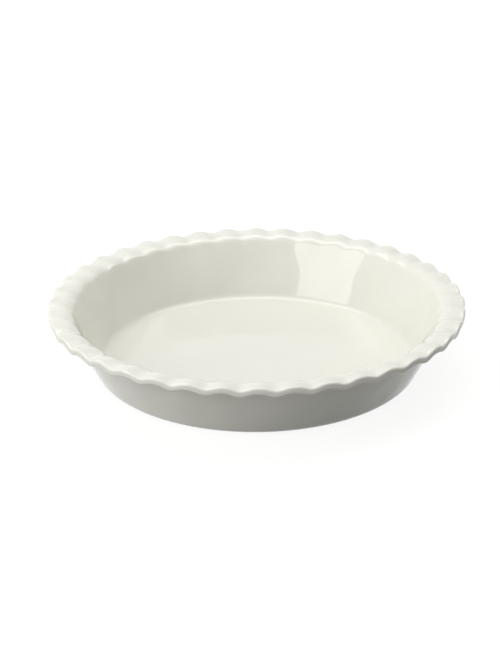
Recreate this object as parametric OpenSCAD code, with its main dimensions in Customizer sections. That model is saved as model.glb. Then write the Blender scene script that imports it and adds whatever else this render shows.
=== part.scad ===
// A round ceramic pie plate: flat floor, sloping wall, and a level brim whose edge runs in waves.
// Units are millimetres. The plate stands on its foot ring at z = 0, centred on the z axis.

/* [Overall] */
// Width over two opposite crests of the rim
overall_d = 300; // [270:1:330]
// Height from the table to the top of a crest
height = 51; // [44:0.5:60]
// Lean of the wall from upright, in degrees
wall_lean = 26.5; // [18:0.5:32]
// Thickness of the wall
wall_t = 5.5; // [4.5:0.1:7]

/* [Brim] */
// Width of the level brim, from the top of the wall to the edge
brim_w = 16; // [14:0.5:20]
// Thickness of the brim and its edge
brim_t = 5.2; // [4.5:0.1:6]
// Radius of the edge's upper corner
lip_top_r = 1.5; // [0.6:0.1:2.2]
// Radius of the edge's lower corner
lip_low_r = 2; // [0.6:0.1:2.2]
// Radius where the brim rolls over into the inside wall
roll_r = 8.5; // [4:0.5:10]
// Radius of the hollow under the brim, where it meets the outside wall
under_r = 3.2; // [2:0.1:5]
// Number of waves round the edge
waves = 40; // [24:4:48]
// Height of the waves at the edge, from trough to crest
wave_h = 2.34; // [0.5:0.02:3]
// How far the edge swings in and out with the waves
wave_swing = 0.6; // [0:0.05:1.5]
// Share of a second, shorter wave that broadens the crests and narrows the troughs
wave_sharp = 0.1; // [0:0.01:0.2]
// Strength of the waves where the brim starts to roll over, against 1 at the edge
wave_inner = 0.74; // [0.2:0.01:1]
// Strength of the waves where the roll meets the wall
wave_wall = 0.52; // [0.1:0.01:0.8]
// Strength of the waves where the hollow under the brim meets the outside wall
wave_under = 0.35; // [0.1:0.01:0.8]
// How far the waves run down the wall before they die out
wave_fade = 15; // [6:0.5:16]

/* [Base] */
// Radius of the outside corner between wall and base
corner_r = 10.5; // [7:0.5:14]
// Radius of the inside corner between wall and floor
inside_r = 10; // [5:0.5:12]
// Thickness of the floor
floor_t = 5; // [4:0.1:6.5]
// Height of the foot ring under the floor
foot_h = 0.8; // [0.4:0.1:1.5]
// Width of the foot ring where it stands
foot_w = 5; // [3:0.5:8]

/* [Hidden] */

// Mean height of the brim's top and underside, and mean radius of its edge
crest_rise = wave_h / 2 * (1 - wave_sharp);
brim_top = height - crest_rise;
brim_low = brim_top - brim_t;
edge_r = overall_d / 2 - wave_swing / 2;

// The inside wall's line meets the brim's top at mouth_r, and the outside wall runs wall_t from it
run = tan(wall_lean);
mouth_r = overall_d / 2 - brim_w;
skirt_r = mouth_r + wall_t / cos(wall_lean);
function inner_r(z) = mouth_r - (brim_top - z) * run;
function outer_r(z) = skirt_r - (brim_top - z) * run;

// Corners between two lines that meet at (90 + wall_lean) degrees: length of each tangent
bend = 90 - wall_lean;
reach = tan(bend / 2);

// Outside corner: an arc that stands on the table and runs up into the wall
foot_r = outer_r(0) - corner_r * reach;
floor_z = foot_h + floor_t;
// Inside corner: the same bend between wall and floor
floor_r = inner_r(floor_z) - inside_r * reach;

// The exact bowl ends at seam_z. The brim starts there, on a tongue that sits in the bowl's top
// edge, a hair inside both of its faces
seam_z = brim_top - roll_r * reach * cos(wall_lean) - wave_fade;
tongue = 0.5;
hair = 0.05;

// Steps along each wave, and along each arc
wave_steps = 8;
arc_steps = 10;
turns = waves * wave_steps;

function arc(x, z, r, from, to, steps) =
    [for (i = [0:steps]) let (a = from + (to - from) * i / steps) [x + r * cos(a), z + r * sin(a)]];

// Half section of the bowl, from the axis out under the floor, up outside and back down inside
bowl_section = concat(
    [[0, foot_h], [foot_r - foot_w - foot_h, foot_h], [foot_r - foot_w, 0]],
    arc(foot_r, corner_r, corner_r, -90, -wall_lean, arc_steps),
    [[outer_r(seam_z), seam_z], [inner_r(seam_z), seam_z]],
    arc(floor_r, floor_z + inside_r, inside_r, -wall_lean, -90, arc_steps),
    [[0, floor_z]]
);

// One point of the brim's section: radius, height, and strength of the wave there
function ring_point(p, strength) = [p[0], p[1], strength];
function blend(from, to, share) = from + (to - from) * share;

roll_steps = 3;
under_steps = 2;
roll = arc(mouth_r + roll_r * reach, brim_top - roll_r, roll_r, 180 - wall_lean, 90, roll_steps);
lip = concat(
    arc(edge_r - lip_top_r, brim_top - lip_top_r, lip_top_r, 90, 0, 3),
    arc(edge_r - lip_low_r, brim_low + lip_low_r, lip_low_r, 0, -90, 3)
);
under_x = outer_r(brim_low) + under_r * reach;
under = arc(under_x, brim_low - under_r, under_r, 90, 180 - wall_lean, under_steps);
low_z = seam_z - tongue;
half_z = blend(seam_z, roll[0][1], 0.5);
half_wave = 0.4 * wave_wall;

brim_section = concat(
    [ring_point([outer_r(low_z) - hair, low_z], 0)],
    [ring_point([inner_r(low_z) + hair, low_z], 0)],
    [ring_point([inner_r(half_z), half_z], half_wave)],
    [for (i = [0:roll_steps]) ring_point(roll[i], blend(wave_wall, wave_inner, i / roll_steps))],
    [for (p = lip) ring_point(p, 1)],
    [for (i = [0:under_steps]) ring_point(under[i], blend(wave_inner, wave_under, i / under_steps))]
);

// The wave: height and outward swing at an angle round the plate, with crests on the four axes
function wave_rise(a) = wave_h / 2 * (cos(waves * a) - wave_sharp * cos(2 * waves * a));
function wave_out(a) = wave_swing / 2 * cos(waves * a);
function on_ring(p, a) =
    let (r = p[0] + p[2] * wave_out(a))
    [r * cos(a), r * sin(a), p[1] + p[2] * wave_rise(a)];

module bowl() {
    rotate_extrude($fn = 180) polygon(bowl_section);
}

module brim() {
    count = len(brim_section);
    points = [for (i = [0:turns - 1]) for (p = brim_section) on_ring(p, 360 * i / turns)];
    function at(i, j) = (i % turns) * count + (j % count);
    faces = [for (i = [0:turns - 1]) for (j = [0:count - 1])
        each [[at(i, j), at(i + 1, j + 1), at(i, j + 1)], [at(i, j), at(i + 1, j), at(i + 1, j + 1)]]];
    polyhedron(points, faces, convexity = 4);
}

module plate() {
    color([0.93, 0.93, 0.88]) {
        bowl();
        brim();
    }
}

plate();
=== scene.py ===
import math

import bmesh
import bpy
from mathutils import Matrix, Vector


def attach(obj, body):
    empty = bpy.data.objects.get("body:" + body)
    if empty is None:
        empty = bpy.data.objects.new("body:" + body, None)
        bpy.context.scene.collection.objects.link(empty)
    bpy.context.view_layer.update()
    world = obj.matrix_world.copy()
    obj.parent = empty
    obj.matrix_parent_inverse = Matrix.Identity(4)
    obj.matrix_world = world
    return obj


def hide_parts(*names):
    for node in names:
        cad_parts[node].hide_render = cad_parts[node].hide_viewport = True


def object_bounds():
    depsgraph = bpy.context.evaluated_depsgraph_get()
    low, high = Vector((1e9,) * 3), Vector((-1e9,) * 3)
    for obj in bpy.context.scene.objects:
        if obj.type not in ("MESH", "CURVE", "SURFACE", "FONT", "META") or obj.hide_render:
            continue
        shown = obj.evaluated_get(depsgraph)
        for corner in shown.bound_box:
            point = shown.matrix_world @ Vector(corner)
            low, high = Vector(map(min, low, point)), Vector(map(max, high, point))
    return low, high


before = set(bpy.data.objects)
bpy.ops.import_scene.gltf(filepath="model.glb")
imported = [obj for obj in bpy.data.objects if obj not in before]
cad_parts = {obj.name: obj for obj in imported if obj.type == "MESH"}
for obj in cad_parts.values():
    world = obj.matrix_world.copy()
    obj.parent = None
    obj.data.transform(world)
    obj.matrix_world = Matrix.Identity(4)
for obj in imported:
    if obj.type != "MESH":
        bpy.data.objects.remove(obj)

cad_low, cad_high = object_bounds()

# Camera
# The plate is seen from a little over a metre away and well above its rim, so that the whole
# floor shows over the front of the brim. The lens is long, and its barrel hangs a trace crooked.
eye = Vector((-0.0050, -1.1280, 0.5193))
look_down = math.radians(23.71)
crooked = math.radians(-0.51)
bpy.ops.object.camera_add(location=eye)
camera = bpy.context.object
camera.name = "camera"
camera.rotation_euler = (
    Matrix.Rotation(math.radians(90) - look_down, 3, "X") @ Matrix.Rotation(crooked, 3, "Z")
).to_euler()
camera.data.lens = 91.29
camera.data.sensor_width = 36
camera.data.sensor_fit = "AUTO"
bpy.context.scene.camera = camera

# Plate
# One piece of thick white stoneware, pressed with its floor, its sloping wall and the level brim
# whose edge runs in waves. It is glazed all over, but for the foot ring that it was fired on.
smoothing_room = 0.00003
rim_r = cad_high[0] - smoothing_room
crest_z = cad_high[2]
wall_lean = math.radians(26.5)
wall_t = 0.0055
brim_w = 0.016
brim_t = 0.0052
lip_top_r = 0.0015
lip_low_r = 0.002
roll_on_brim = 0.0080
roll_on_wall = 0.0048
under_r = 0.0032
corner_r = 0.0105
inside_r = 0.007
floor_t = 0.005
foot_h = 0.0008
foot_w = 0.005
foot_round = 0.0005

waves = 40
wave_steps = 8
wave_h = 0.00234
wave_swing = 0.0002
wave_sharp = 0.1
wave_fade = 0.015

# Strength of the waves, against 1 round the edge: on the brim's underside from the wall outwards,
# then on its top from the edge inwards, then round the roll into the inside wall
wave_under = 0.35
wave_low_in = 0.72
wave_low_out = 0.87
wave_top_out = 0.92
wave_top_in = 0.66
wave_inner = 0.58
wave_wall = 0.42

# The share of that strength just down the wall from either bend, and the powers of the way by
# which it dies out from there, outside and inside
wave_left = 0.8
fade_power_out = 1.3
fade_power_in = 0.8

brim_top = crest_z - wave_h / 2 * (1 - wave_sharp)
brim_low = brim_top - brim_t
edge_r = rim_r - wave_swing / 2
mouth_r = rim_r - brim_w
skirt_r = mouth_r + wall_t / math.cos(wall_lean)
reach = math.tan((math.pi / 2 - wall_lean) / 2)

# Directions in the section, as angles from straight out
up = math.pi / 2
out = 0
down = -math.pi / 2
uphill = math.pi - wall_lean


def inner_r(z):
    """Radius of the inside wall's straight line at a height."""
    return mouth_r - (brim_top - z) * math.tan(wall_lean)


def outer_r(z):
    """Radius of the outside wall's straight line at a height."""
    return skirt_r - (brim_top - z) * math.tan(wall_lean)


def arc(x, z, r, start, end, steps):
    """Points on an arc of the section, both ends included."""
    angles = [start + (end - start) * i / steps for i in range(steps + 1)]
    return [(x + r * math.cos(a), z + r * math.sin(a)) for a in angles]


def between(start, end, steps):
    """Points on a straight stretch of the section, both ends left out."""
    shares = [i / steps for i in range(1, steps)]
    return [tuple(p + (q - p) * t for p, q in zip(start, end)) for t in shares]


def bend(start, corner, end, steps):
    """Points on a curve that leaves start towards the corner, and comes from the corner into end."""
    pull = 1.2
    points = []
    for i in range(steps + 1):
        t = i / steps
        to_start = (1 - t) ** 2 * (1 + (pull - 1) * t)
        to_end = t**2 * (pull - (pull - 1) * t)
        to_corner = 1 - to_start - to_end
        shares = (to_start, to_corner, to_end)
        points.append(tuple(sum(s * v for s, v in zip(shares, way)) for way in zip(start, corner, end)))
    return points


def wall_point(depth):
    """A point of the inside wall, so far down its slope from the level of the brim."""
    return mouth_r - depth * math.sin(wall_lean), brim_top - depth * math.cos(wall_lean)


def waved(points, first, last, power=1):
    """Gives a stretch of the section the strength of its waves, from its first point to its last."""
    shares = [i / (len(points) - 1) for i in range(len(points))]
    return [(r, z, first + (last - first) * t**power) for (r, z), t in zip(points, shares)]


foot_r = outer_r(0) - corner_r * reach
floor_z = foot_h + floor_t
floor_r = inner_r(floor_z) - inside_r * reach
hollow_r = foot_r - foot_w
corner = arc(foot_r, corner_r, corner_r, down, -wall_lean, 8)
under = arc(outer_r(brim_low) + under_r * reach, brim_low - under_r, under_r, uphill, up, 5)
lip_low = arc(edge_r - lip_low_r, brim_low + lip_low_r, lip_low_r, down, out, 5)
lip_top = arc(edge_r - lip_top_r, brim_top - lip_top_r, lip_top_r, out, up, 5)
roll = bend((mouth_r + roll_on_brim, brim_top), (mouth_r, brim_top), wall_point(roll_on_wall), 7)
inside = arc(floor_r, floor_z + inside_r, inside_r, -wall_lean, down, 8)
fade_z = roll[-1][1] - wave_fade
fade_out = (outer_r(fade_z), fade_z)
fade_in = (inner_r(fade_z), fade_z)

# Rings set close together hold the base flat up to the foot, and the floor flat up to its corner
hold_base = (0.004, 0.0015, foot_h)
hold_floor = 0.003

# The section, from under the floor out over the foot ring, up the outside, round the edge and
# down the inside to the floor, as rings of radius, height and strength of the waves
base = [(hollow_r - inwards, foot_h) for inwards in hold_base]
flank = [(hollow_r - foot_h / 4, foot_h / 2)]
foot = [(hollow_r + foot_round, 0), (foot_r - foot_round, 0)]
floor = [(floor_r - hold_floor, floor_z), (floor_r * 0.7, floor_z), (floor_r * 0.3, floor_z)]
rings = waved(base + flank + foot, 0, 0)
rings += waved(corner + between(corner[-1], fade_out, 4), 0, 0)
rings += waved([fade_out] + between(fade_out, under[0], 5), 0, wave_under * wave_left, fade_power_out)
rings += waved(under, wave_under, wave_inner)
rings += waved(between(under[-1], lip_low[0], 3), wave_low_in, wave_low_out)
rings += waved(lip_low + between(lip_low[-1], lip_top[0], 2) + lip_top, 1, 1)
rings += waved(between(lip_top[-1], roll[0], 4), wave_top_out, wave_top_in)
rings += waved(roll, wave_inner, wave_wall)
rings += waved(between(roll[-1], fade_in, 6) + [fade_in], wave_wall * wave_left, 0, fade_power_in)
rings += waved(between(fade_in, inside[0], 4) + inside, 0, 0)
rings += waved(floor, 0, 0)

# One wave's wedge of the plate is drawn out ring by ring, then spun round forty times
half_wave = math.pi / waves
just_over_half = half_wave * 1.01
weld = 0.00002
bpy.ops.object.select_all(action="DESELECT")
bpy.ops.mesh.primitive_circle_add(vertices=waves * wave_steps, radius=rings[0][0])
plate = bpy.context.object
plate.name = "glazed_plate"
bpy.ops.object.mode_set(mode="EDIT")
bpy.ops.mesh.select_mode(type="VERT")
bpy.ops.transform.translate(value=(0, 0, rings[0][1]))
bpy.ops.mesh.select_all(action="DESELECT")
net = bmesh.from_edit_mesh(plate.data)
for v in net.verts:
    v.select = abs(math.atan2(v.co.y, v.co.x)) > just_over_half
bpy.ops.mesh.delete(type="VERT")
bpy.ops.mesh.select_all(action="SELECT")


def kept(ripples):
    """The share of such ripples, counted per wave, that is left once the net is smoothed."""
    return (4 + 2 * math.cos(math.tau * ripples / wave_steps)) / 6


def raise_wave(radius, gain):
    """Lifts the crest of the selected ring, sinks its troughs and swings both, by a share of the wave."""
    ring = [v.index for v in bmesh.from_edit_mesh(plate.data).verts if v.select]
    for step in range(wave_steps // 2 + 1):
        turn = math.tau * step / wave_steps
        crest = math.cos(turn) / kept(1)
        ripple = math.cos(2 * turn) / kept(2)
        bpy.ops.mesh.select_all(action="DESELECT")
        net = bmesh.from_edit_mesh(plate.data)
        net.verts.ensure_lookup_table()
        for i in ring:
            point = net.verts[i].co
            away = abs(math.atan2(point.y, point.x)) / half_wave
            net.verts[i].select = round(away * wave_steps / 2) == step
        bpy.ops.transform.translate(value=(0, 0, gain * wave_h / 2 * (crest - wave_sharp * ripple)))
        grow = 1 + gain * wave_swing / 2 * crest / radius
        bpy.ops.transform.resize(value=(grow, grow, 1), center_override=(0, 0, 0))
    net = bmesh.from_edit_mesh(plate.data)
    net.verts.ensure_lookup_table()
    for i in ring:
        net.verts[i].select = True
    net.select_flush(True)


for (r0, z0, s0), (r1, z1, s1) in zip(rings, rings[1:]):
    bpy.ops.mesh.extrude_region_move(TRANSFORM_OT_translate={"value": (0, 0, z1 - z0)})
    bpy.ops.transform.resize(value=(r1 / r0, r1 / r0, 1), center_override=(0, 0, 0))
    if s1 != s0:
        raise_wave(r1, s1 - s0)

bpy.ops.mesh.select_all(action="SELECT")
last_turn = math.tau * (waves - 1) / waves
bpy.ops.mesh.spin(steps=waves - 1, dupli=True, angle=last_turn, center=(0, 0, 0), axis=(0, 0, 1))
bpy.ops.mesh.select_all(action="SELECT")
bpy.ops.mesh.remove_doubles(threshold=weld)
bpy.ops.object.mode_set(mode="OBJECT")
smooth = plate.modifiers.new("smooth clay", "SUBSURF")
smooth.levels = smooth.render_levels = 1
bpy.ops.object.modifier_apply(modifier=smooth.name)

# Both sides of the floor are closed after the smoothing, which is slow on a face of 320 sides
bpy.ops.object.mode_set(mode="EDIT")
bpy.ops.mesh.select_all(action="SELECT")
bpy.ops.mesh.fill_holes(sides=0)
bpy.ops.mesh.select_all(action="SELECT")
bpy.ops.mesh.normals_make_consistent(inside=False)
bpy.ops.object.mode_set(mode="OBJECT")
bpy.ops.object.shade_smooth()

# The glaze: a warm white that hides the clay, glossy, and not quite even in tone or in surface,
# least so on the floor, where it settled flat
glaze = bpy.data.materials.new("white_glaze")
glaze.use_nodes = True
shader = glaze.node_tree.nodes["Principled BSDF"]
place = glaze.node_tree.nodes.new("ShaderNodeTexCoord")


def join(start, end):
    """Leads one socket of the glaze's nodes into another."""
    glaze.node_tree.links.new(start, end)


def noise(name, scale, detail):
    """Soft spots all over the plate, with a higher scale for smaller spots."""
    spots = glaze.node_tree.nodes.new("ShaderNodeTexNoise")
    spots.name = name
    spots.inputs["Scale"].default_value = scale
    spots.inputs["Detail"].default_value = detail
    join(place.outputs["Object"], spots.inputs["Vector"])
    return spots.outputs["Fac"]


def spread(value, low, high, to_low, to_high):
    """Stretches the range from low to high on to the range from to_low to to_high."""
    ramp = glaze.node_tree.nodes.new("ShaderNodeMapRange")
    ramp.inputs["From Min"].default_value = low
    ramp.inputs["From Max"].default_value = high
    ramp.inputs["To Min"].default_value = to_low
    ramp.inputs["To Max"].default_value = to_high
    join(value, ramp.inputs["Value"])
    return ramp.outputs["Result"]


def mix(share, one, other):
    """A colour that goes from one to the other as the share goes from 0 to 1."""
    blend = glaze.node_tree.nodes.new("ShaderNodeMix")
    blend.data_type = "RGBA"
    join(share, blend.inputs["Factor"])
    for socket, colour in (("A", one), ("B", other)):
        end = next(s for s in blend.inputs if s.name == socket and s.type == "RGBA")
        if isinstance(colour, tuple):
            end.default_value = colour
        else:
            join(colour, end)
    return next(s for s in blend.outputs if s.type == "RGBA")


thin_glaze = (0.79, 0.79, 0.715, 1)
thick_glaze = (0.81, 0.81, 0.73, 1)
bare_clay = (0.70, 0.64, 0.53, 1)
pooling = spread(noise("pooling", scale=22, detail=3), low=0.3, high=0.7, to_low=0, to_high=1)
glaze_colour = mix(pooling, thin_glaze, thick_glaze)

# Under the foot ring the glaze is wiped off, and the dull clay shows
height = glaze.node_tree.nodes.new("ShaderNodeSeparateXYZ")
join(place.outputs["Object"], height.inputs["Vector"])
wiped = spread(height.outputs["Z"], low=0.0003, high=0.0005, to_low=1, to_high=0)
join(mix(wiped, glaze_colour, bare_clay), shader.inputs["Base Color"])

clay_roughness = 0.7
gloss = spread(noise("gloss", scale=60, detail=2), low=0.3, high=0.7, to_low=0.02, to_high=0.04)
dull = glaze.node_tree.nodes.new("ShaderNodeMix")
join(wiped, dull.inputs["Factor"])
join(gloss, dull.inputs["A"])
dull.inputs["B"].default_value = clay_roughness
join(dull.outputs["Result"], shader.inputs["Roughness"])

calm_floor = spread(height.outputs["Z"], low=0.006, high=0.015, to_low=0.15, to_high=1)
flow = glaze.node_tree.nodes.new("ShaderNodeBump")
flow.inputs["Distance"].default_value = 0.0032
join(calm_floor, flow.inputs["Strength"])
join(noise("glaze flow", scale=22, detail=1.5), flow.inputs["Height"])
join(flow.outputs["Normal"], shader.inputs["Normal"])

plate.data.materials.append(glaze)
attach(plate, "root")
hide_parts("plate")

# Table
# A plain white top that runs on past the view. The camera and the glaze see it white, but it
# throws only a part of that light back up on to the plate, and keeps the plate's soft shadow.
table_colour = (0.19, 0.185, 0.175, 1)
table_glow = 0.89
bpy.ops.mesh.primitive_plane_add(size=12)
table = bpy.context.object
table.name = "table"
white = bpy.data.materials.new("white_table")
white.use_nodes = True
tree = white.node_tree
top = tree.nodes["Principled BSDF"]
top.inputs["Base Color"].default_value = table_colour
top.inputs["Roughness"].default_value = 1
top.inputs["Specular IOR Level"].default_value = 0
top.inputs["Emission Color"].default_value = (1, 1, 1, 1)


def seen_white(tree):
    """1 on the rays by which the camera or the glaze sees a thing, and 0 on those that it lights by."""
    path = tree.nodes.new("ShaderNodeLightPath")
    share = path.outputs["Is Camera Ray"]
    for look in ("Is Transmission Ray", "Is Glossy Ray"):
        either = tree.nodes.new("ShaderNodeMath")
        either.operation = "MAXIMUM"
        tree.links.new(share, either.inputs[0])
        tree.links.new(path.outputs[look], either.inputs[1])
        share = either.outputs["Value"]
    return share


lift = tree.nodes.new("ShaderNodeMath")
lift.operation = "MULTIPLY"
lift.inputs[1].default_value = table_glow
tree.links.new(seen_white(tree), lift.inputs[0])
tree.links.new(lift.outputs["Value"], top.inputs["Emission Strength"])
table.data.materials.append(white)

# Lamps
# The strongest softbox stands low on the left in front, and its outline shows in the far wall of
# the plate, with a weak one below it. A bright strip and a wide one hang over the plate and a
# little behind it. The white room fills the shadows.
aim = Vector((0, 0, 0.03))


def softbox(name, azimuth, elevation, distance, width, tall, strength):
    """Angles in degrees, from +X and up from the table. strength is what the lamp's face shows."""
    turn = math.radians(azimuth)
    rise = math.radians(elevation)
    flat = math.cos(rise)
    away = Vector((flat * math.cos(turn), flat * math.sin(turn), math.sin(rise)))
    lamp_data = bpy.data.lights.new(name, "AREA")
    lamp_data.shape = "RECTANGLE"
    lamp_data.size = width
    lamp_data.size_y = tall
    lamp_data.energy = strength * math.pi * width * tall
    lamp = bpy.data.objects.new(name, lamp_data)
    bpy.context.collection.objects.link(lamp)
    lamp.location = aim + away * distance
    lamp.rotation_euler = away.to_track_quat("Z", "Y").to_euler()


softbox("front_left", azimuth=-147.5, elevation=24, distance=1.3, width=0.86, tall=1.15, strength=2.95)
softbox("low_front", azimuth=-130, elevation=9, distance=1.8, width=1.4, tall=0.5, strength=0.65)
softbox("overhead", azimuth=90, elevation=68, distance=1.5, width=2.2, tall=0.5, strength=2.7)
softbox("overhead_wide", azimuth=90, elevation=72, distance=1.7, width=2.2, tall=1.8, strength=0.55)

room_fill = 0.39
room = bpy.data.worlds.new("room")
bpy.context.scene.world = room
room.use_nodes = True
sky = room.node_tree.nodes["Background"]
sky.inputs["Color"].default_value = (1, 1, 1, 1)
room_light = room.node_tree.nodes.new("ShaderNodeMapRange")
room_light.inputs["To Min"].default_value = room_fill
room_light.inputs["To Max"].default_value = 1
room.node_tree.links.new(seen_white(room.node_tree), room_light.inputs["Value"])
room.node_tree.links.new(room_light.outputs["Result"], sky.inputs["Strength"])

bpy.context.scene.view_settings.view_transform = "Standard"
